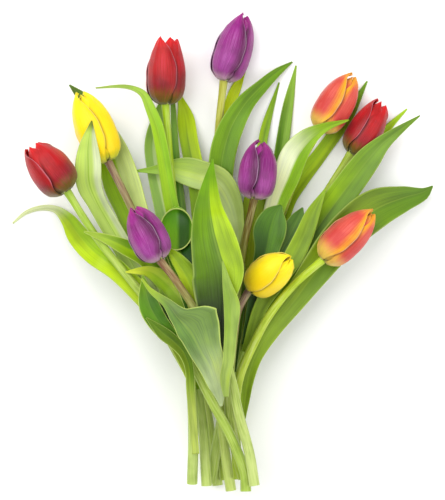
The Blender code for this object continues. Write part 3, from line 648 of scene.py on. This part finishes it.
for number, (name, spec) in enumerate(LEAVES.items()):
    control = np.array(spec["points"], float) * MM
    length = np.linalg.norm(np.diff(control[:, :2], axis=0), axis=1).sum()
    path = smooth_path(control, LEAF_ROWS)
    heights = resting_heights(name, path, LEAF_ROWS,
                              SOUNDINGS + round(length / SOUNDING_EVERY))
    ahead = np.gradient(path[:, :2], axis=0)
    ahead /= np.linalg.norm(ahead, axis=1)[:, None]
    spine_data = bpy.data.meshes.new(name + "_spine")
    spine_data.from_pydata([(x, y, z - LEAF_THICKNESS * LEAF_SINK)
                            for (x, y), z in zip(path[:, :2], heights)], [], [])
    for label, widths in (("left", path[:, 2]), ("right", path[:, 3])):
        spine_data.attributes.new(label, "FLOAT", "POINT").data.foreach_set(
            "value", np.maximum(widths, LEAST_HALF_WIDTH))
    side = np.column_stack([ahead[:, 1], -ahead[:, 0], np.zeros(LEAF_ROWS)])
    spine_data.attributes.new("to_right", "FLOAT_VECTOR", "POINT").data.foreach_set(
        "vector", side.ravel())
    spec["seed"], spec["spine"] = number * 1.7, (path, heights)
    leaf = grown(name + "_blade", spine_data, blade, {
        "Rows": LEAF_ROWS, "Columns": LEAF_COLUMNS,
        "Channel": spec.get("channel", LEAF_CHANNEL), "Ripple": LEAF_RIPPLE,
        "Ribs": LEAF_RIBS, "Finish": leaf_finish(name + "_skin", spec)})
    skin = leaf.modifiers.new("thickness", "SOLIDIFY")
    skin.thickness = LEAF_THICKNESS
    skin.offset = 0.0
    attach(leaf, "root")
    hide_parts(name)

# The curled leaf is rolled in on itself, so from above its end is an open oval cup: a raised
# thin lip all round, one side of the inside in light and the other in shade.
# The wall's rings are a share of the half-size, from the middle out, and a height (mm).
CUP_CENTRE, CUP_HALF = (-37.6, 18.0), (13.6, 17.4)
CUP_THICKNESS = 0.0004
LIP_WAVE = 0.5            # how far the lip dips and rises, in millimetres
CUP_WALL = [(0.0, 0.4), (0.45, 0.5), (0.74, 1.2), (0.90, 2.8), (0.965, 4.2), (0.99, 4.8),
            (1.0, 4.7), (1.0, 3.5), (0.985, 1.5), (0.97, -1.0)]

cup_centre = Vector(CUP_CENTRE) * MM
cup_half = Vector(CUP_HALF) * MM
bowl_path, bowl_heights = LEAVES["leaf_curled_bowl"]["spine"]
bowl_channel = LEAVES["leaf_curled_bowl"]["channel"]
CUP_STEPS = 72


def cup_point(share, turn, rise):
    """A point of the cup, standing a rise (mm) above the blade that it is rolled from."""
    x = cup_half.x * share * math.cos(turn)
    y = cup_centre.y + cup_half.y * share * math.sin(turn)
    ground = np.interp(y, bowl_path[:, 1], bowl_heights) + bowl_channel * abs(x)
    return cup_centre.x + x, y, ground + (rise + LIP_WAVE * math.sin(2 * turn + 1) * share) * MM


points = [cup_point(0.0, 0.0, CUP_WALL[0][1])]
points += [cup_point(share, math.tau * step / CUP_STEPS, rise)
           for share, rise in CUP_WALL[1:] for step in range(CUP_STEPS)]
faces = [(0, 1 + step, 1 + (step + 1) % CUP_STEPS) for step in range(CUP_STEPS)]
for row in range(len(CUP_WALL) - 2):
    low, high = 1 + row * CUP_STEPS, 1 + (row + 1) * CUP_STEPS
    faces += [(low + step, high + step, high + (step + 1) % CUP_STEPS,
               low + (step + 1) % CUP_STEPS) for step in range(CUP_STEPS)]
cup = mesh_object("leaf_curled_bowl_cup", points, faces)
cup.data.shade_smooth()
cup_skin, tree, shader = new_finish("rolled_leaf_skin", 0.44, subsurface=0.06)
spot = add(tree, "ShaderNodeTexCoord", out=3)
cup_x = (add(tree, "ShaderNodeSeparateXYZ", {}, {0: spot}) - cup_centre.x) / cup_half.x
cup_y = (add(tree, "ShaderNodeSeparateXYZ", {}, {0: spot}, out=1) - cup_centre.y) / cup_half.y
veins = noise(tree, vector(tree, cup_x * 7.0, cup_y * 1.2), 1.6, 4.0)
body = mix(tree, cup_y.ramp(-0.9, 0.9), paint(125, 172, 20), paint(92, 142, 12))
shade = cup_x.ramp(-0.05, 0.25) * (1.0 - cup_x.ramp(0.7, 0.95))
body = mix(tree, shade * 0.9, body, paint(52, 82, 8))
body = mix(tree, veins.ramp(0.4, 0.7) * 0.3, body, paint(225, 235, 140), "SOFT_LIGHT")
out_from_middle = (cup_x * cup_x + cup_y * cup_y) ** 0.5
body = mix(tree, out_from_middle.ramp(0.92, 0.965), body, paint(205, 220, 135))
coat(tree, shader, body, veins, 0.3, 0.0005)
cup.data.materials.append(cup_skin)
skin = cup.modifiers.new("thickness", "SOLIDIFY")
skin.thickness = CUP_THICKNESS
skin.offset = -1.0
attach(cup, "root")

# ---------------------------------------------------------------- flowers
# A tulip has three outer and three inner petals. They wrap round one another in a closed
# egg, thick and satiny, with a soft rib up the middle of each and fine lengthwise lines.
PETAL_THICKNESS = 0.0006
WHORL_STEP = 0.0013       # the inner petals stand this far inside the outer ones
INNER_START = 0.03        # and start this far up, as a share of the length
INNER_LENGTH, INNER_LENGTH_OPEN = 0.91, 0.96
OPEN_MOUTH = 0.3          # a flower that stands open wider than this shows its inner petals
UNEVEN = 0.03             # the three petals of a whorl differ this much in length
PETAL_ROWS, PETAL_COLUMNS = 34, 25
# Share of the length, with the share of the radius or of the width there.
PETAL_OUTLINE = [(0.0, 0.32), (0.05, 0.62), (0.15, 0.89), (0.32, 1.0), (0.52, 0.985),
                 (0.70, 0.86), (0.85, 0.61), (0.95, 0.31), (1.0, 0.10)]
PETAL_WIDTH = [(0.0, 0.62), (0.12, 0.78), (0.35, 1.0), (0.6, 0.98), (0.78, 0.82),
               (0.9, 0.55), (0.97, 0.27), (1.0, 0.02)]
HALF_SWEEP = 1.22         # half the angle that a petal wraps round, in radians

whorl, wires = geometry_tree("petal_whorl", {
    "Length": "Float", "Radius": "Float", "Inset": "Float", "Mouth": "Float", "Turn": "Float",
    "Uneven": "Float", "Finish": "Material"})
grid = add(whorl, "GeometryNodeMeshGrid", {}, {
    "Size X": 2.0, "Size Y": 1.0, "Vertices X": PETAL_COLUMNS, "Vertices Y": PETAL_ROWS})
spot = add(whorl, "GeometryNodeInputPosition")
across = add(whorl, "ShaderNodeSeparateXYZ", {}, {0: spot})
along = add(whorl, "ShaderNodeSeparateXYZ", {}, {0: spot}, out=1) + 0.5
outline = add(whorl, "ShaderNodeFloatCurve", {"curve": PETAL_OUTLINE}, {"Value": along})
breadth = add(whorl, "ShaderNodeFloatCurve", {"curve": PETAL_WIDTH}, {"Value": along})
mouth = wires["Mouth"] * along.ramp(0.5, 1.05)
angle = across * breadth * HALF_SWEEP
rib = (1.0 - abs(across).ramp(0.0, 0.30)) * 0.03 + (across * 9.0).sin() * 0.008
# How far a point lies under the next petal's edge; the petal skin paints shade there.
to_next = math.tau / 3 - breadth * HALF_SWEEP * (1.0 - across)
tucked = 1.0 - to_next.ramp(0.0, 0.20)
edge = across * across * across * across
out = (wires["Radius"] * (outline * (1.0 - mouth) + mouth * 0.92 + rib - edge * 0.015)
       - wires["Inset"] + across * 0.0007
       + (along * 17.0 + across * 5.0).sin() * along * along * edge * 0.0012)
height = wires["Length"] * (along - edge * along * 0.03)
place = vector(whorl, out * angle.cos(), out * angle.sin(), height)
petal = grid
for label, value in (("along", along), ("across", across), ("tucked", tucked)):
    petal = store(whorl, petal, label, value)
petal = add(whorl, "GeometryNodeSetPosition", {}, {"Geometry": petal, "Position": place})
number = add(whorl, "GeometryNodeInputIndex")
spots = add(whorl, "GeometryNodeMeshLine", {"mode": "OFFSET"}, {"Count": 3,
                                                                "Offset": (0, 0, 0)})
turned = vector(whorl, 0.0, 0.0, wires["Turn"] + number * (math.tau / 3))
tall = vector(whorl, 1.0, 1.0, 1.0 - (number * 2.4).sin() * wires["Uneven"])
ring = add(whorl, "GeometryNodeInstanceOnPoints", {}, {
    "Points": spots, "Instance": petal, "Rotation": turned, "Scale": tall})
close_tree(whorl, ring, wires["Finish"])


def petal_finish(name, foot, low, high, tip, margin, dark, foot_ends=(0.05, 0.2),
                 margin_at=(0.35, 0.95), lit=(245, 215, 225)):
    """Satin petal skin: a paler foot, a flame up the middle whose pale lines carry a painted
    highlight, coloured margins, painted shade under a neighbour's edge and a painted highlight
    along one edge.
    """
    made, tree, shader = new_finish(name, 0.40, subsurface=0.05, sheen=0.12)
    along, across = stored(tree, "along"), stored(tree, "across")
    tucked = stored(tree, "tucked")
    lines = noise(tree, vector(tree, across * 15.0, along * 1.4), 1.8, 5.0, 0.65)
    cloud = noise(tree, None, 70.0, 3.0)
    body = mix(tree, (along + cloud * 0.2).ramp(0.25, 0.8), paint(*low), paint(*high))
    feather = abs(across) + (lines - 0.5) * 0.5 + along * 0.15
    body = mix(tree, feather.ramp(*margin_at), body, paint(*margin))
    body = mix(tree, (along + lines * 0.1).ramp(0.84, 1.04), body, paint(*tip))
    body = mix(tree, 1.0 - (along + (lines - 0.5) * 0.3).ramp(*foot_ends), body, paint(*foot))
    # The pale lines are the petal's own streaks, carrying a painted highlight in the lit colour.
    body = mix(tree, lines.ramp(0.48, 0.75) * 0.5, body, paint(*lit))
    body = mix(tree, (1.0 - lines.ramp(0.3, 0.5)) * 0.55, body, paint(*dark))
    body = mix(tree, (1.0 - cloud.ramp(0.3, 0.6)) * 0.35, body, paint(*dark))
    # Painted shade where the petal lies under its neighbour's edge.
    body = mix(tree, tucked * 0.75, body, paint(*[part * 0.6 for part in dark]))
    # A painted highlight along one edge of each petal, in a lightened lit colour.
    edge = across.ramp(0.945, 0.985) * along.ramp(0.1, 0.4) * 0.45
    body = mix(tree, edge, body, paint(*[part + 0.4 * (255 - part) for part in lit]))
    coat(tree, shader, body, lines, 0.45, 0.0005)
    return made


PETAL_FINISHES = {
    "red": petal_finish("petal_red", foot=(112, 106, 50), low=(134, 44, 54),
                        high=(188, 22, 50), tip=(224, 4, 34), margin=(160, 8, 38),
                        dark=(104, 12, 30), foot_ends=(0.03, 0.30), lit=(200, 84, 106),
                        margin_at=(0.5, 1.05)),
    "purple": petal_finish("petal_purple", foot=(206, 170, 190), low=(160, 86, 150),
                           high=(150, 60, 132), tip=(166, 42, 136), margin=(96, 22, 82),
                           dark=(82, 20, 70), foot_ends=(0.0, 0.13), lit=(212, 150, 206),
                           margin_at=(0.5, 1.0)),
    "yellow": petal_finish("petal_yellow", foot=(212, 216, 90), low=(255, 222, 30),
                           high=(255, 232, 34), tip=(255, 236, 56), margin=(252, 216, 16),
                           dark=(246, 210, 20), foot_ends=(0.0, 0.16), lit=(255, 242, 100)),
    "orange": petal_finish("petal_orange", foot=(232, 205, 110), low=(208, 88, 84),
                           high=(214, 98, 88), tip=(238, 170, 62), margin=(244, 178, 60),
                           dark=(184, 66, 66), foot_ends=(0.05, 0.30), lit=(232, 150, 140),
                           margin_at=(0.58, 0.98)),
}

# Tip of each flower in plan (millimetres), greatest width, turn of the seam that faces up
# (degrees), how far the petals stand open, and the lift of a head that points upwards.
FLOWERS = {
    "red_top": dict(tip=(-46, 175), width=31, seam=24, mouth=0.55, kind="red"),
    "red_left": dict(tip=(-155, 86), width=33, seam=-27, mouth=0.35, kind="red"),
    "red_right": dict(tip=(132, 122), width=27, seam=-21, mouth=0.35, kind="red"),
    "purple_top": dict(tip=(18, 195), width=30, seam=27, mouth=0.08, kind="purple"),
    "purple_left": dict(tip=(-72, 35), width=30, seam=19, mouth=0.10, kind="purple"),
    "purple_centre": dict(tip=(32, 90), width=31, seam=-9, mouth=0.08, kind="purple"),
    "yellow_left": dict(tip=(-117, 130), width=32, seam=9, mouth=0.12, kind="yellow"),
    "yellow_right": dict(tip=(56, -5), width=30, seam=15, mouth=0.06, kind="yellow", lift=30),
    "orange_top": dict(tip=(108, 145), width=30, seam=2, mouth=0.06, kind="orange"),
    "orange_right": dict(tip=(123, 32), width=30, seam=15, mouth=0.06, kind="orange"),
}

for name, spec in FLOWERS.items():
    foot = Vector(STEMS[name]["foot_of_flower"])
    toward = Vector((spec["tip"][0] * MM - foot.x, spec["tip"][1] * MM - foot.y, 0.0))
    lift = math.radians(spec.get("lift", 0.0))
    length = toward.length / math.cos(lift)
    toward.normalize()
    to_left = Vector((-toward.y, toward.x, 0.0))
    axis = toward * math.cos(lift) + Vector((0, 0, math.sin(lift)))
    top_side = axis.cross(to_left)
    stand = Matrix((-to_left, -top_side, axis)).transposed().to_4x4()
    stand.translation = foot
    radius = spec["width"] * MM / 2
    spec["length"], spec["stand"] = length, stand.copy()
    turn = math.radians(-90 + spec["seam"] + 60)
    inner = INNER_LENGTH if spec["mouth"] < OPEN_MOUTH else INNER_LENGTH_OPEN
    for label, scale, inset, extra, start in (("outer_tepals_", 1.0, 0.0, 0.0, 0.0),
                                              ("inner_tepals_", inner, WHORL_STEP,
                                               math.pi / 3, INNER_START)):
        petals = grown(label + name + "_petals", bpy.data.meshes.new(name), whorl, {
            "Length": length * scale, "Radius": radius, "Inset": inset,
            "Mouth": spec["mouth"], "Turn": turn + extra, "Uneven": UNEVEN,
            "Finish": PETAL_FINISHES[spec["kind"]]})
        petals.data.transform(stand @ Matrix.Translation((0, 0, start * length)))
        skin = petals.modifiers.new("thickness", "SOLIDIFY")
        skin.thickness = PETAL_THICKNESS
        skin.offset = 0.0
        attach(petals, "root")
        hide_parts(label + name)
        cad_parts[label + name].data.materials[0].name

# ---------------------------------------------------------------- pistils and stamens
# Down inside each flower a pale three-lobed pistil stands on the end of the stem, with six
# stamens round it: thin threads that each carry one long, powdery, dark anther.
PISTIL_SHARE, ANTHER_SHARE = 0.40, 0.30     # heights, as shares of the flower's length
STAMENS, LOBES = 6, 3
PISTIL_RADIUS, LOBE_RADIUS, LOBE_RING = 0.0016, 0.0017, 0.0014
THREAD_RADIUS, ANTHER_RADIUS, STAMEN_RING = 0.0006, 0.0010, 0.0036
ANTHER_STRETCH = (1.1, 1.1, 4.2)

heart, wires = geometry_tree("flower_heart", {"Length": "Float", "Stamens": "Int",
                                              "Finish": "Material"})


def tagged(geometry, value):
    """Marks geometry as anther (1) or as the pale green rest (0)."""
    return store(heart, geometry, "anther", value)


def copies(count, radius, height, instance, scale=(1.0, 1.0, 1.0)):
    """Copies of a shape on a level ring at a height above the receptacle."""
    spots = add(heart, "GeometryNodeMeshCircle", {}, {"Vertices": count, "Radius": radius})
    spots = add(heart, "GeometryNodeTransform", {}, {
        "Geometry": spots, "Translation": vector(heart, 0.0, 0.0, height)})
    return add(heart, "GeometryNodeInstanceOnPoints", {},
               {"Points": spots, "Instance": instance, "Scale": scale})


pistil = tagged(add(heart, "GeometryNodeMeshCylinder", {}, {
    "Vertices": 12, "Radius": PISTIL_RADIUS, "Depth": wires["Length"] * PISTIL_SHARE}), 0.0)
pistil = add(heart, "GeometryNodeTransform", {}, {
    "Geometry": pistil,
    "Translation": vector(heart, 0.0, 0.0, wires["Length"] * (PISTIL_SHARE / 2))})
lobe = tagged(add(heart, "GeometryNodeMeshUVSphere", {}, {
    "Segments": 12, "Rings": 8, "Radius": LOBE_RADIUS}), 0.0)
lobes = copies(LOBES, LOBE_RING, wires["Length"] * PISTIL_SHARE, lobe)
thread = tagged(add(heart, "GeometryNodeMeshCylinder", {}, {
    "Vertices": 8, "Radius": THREAD_RADIUS, "Depth": wires["Length"] * ANTHER_SHARE}), 0.0)
threads = copies(wires["Stamens"], STAMEN_RING, wires["Length"] * (ANTHER_SHARE / 2), thread)
anther = tagged(add(heart, "GeometryNodeMeshUVSphere", {}, {
    "Segments": 12, "Rings": 10, "Radius": ANTHER_RADIUS}), 1.0)
anthers = copies(wires["Stamens"], STAMEN_RING, wires["Length"] * ANTHER_SHARE, anther,
                 ANTHER_STRETCH)
joined = heart.nodes.new("GeometryNodeJoinGeometry")
for shape in (pistil, lobes, threads, anthers):
    heart.links.new(shape.socket, joined.inputs[0])
close_tree(heart, Wire(joined.outputs[0]), wires["Finish"])

heart_skin, tree, shader = new_finish("pistil_and_anthers", 0.7, subsurface=0.05)
is_anther = stored(tree, "anther")
grains = noise(tree, None, 900.0, 2.0)
dust = mix(tree, grains.ramp(0.4, 0.65), paint(46, 34, 44), paint(96, 74, 60))
flesh = mix(tree, grains.ramp(0.4, 0.65), paint(196, 204, 120), paint(212, 216, 140))
coat(tree, shader, mix(tree, is_anther, flesh, dust), grains, 0.4, 0.0002)

for name, spec in FLOWERS.items():
    piece = grown("pistil_and_stamens_" + name, bpy.data.meshes.new(name), heart,
                  {"Length": spec["length"], "Stamens": STAMENS, "Finish": heart_skin})
    piece.data.transform(spec["stand"])
    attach(piece, "root")
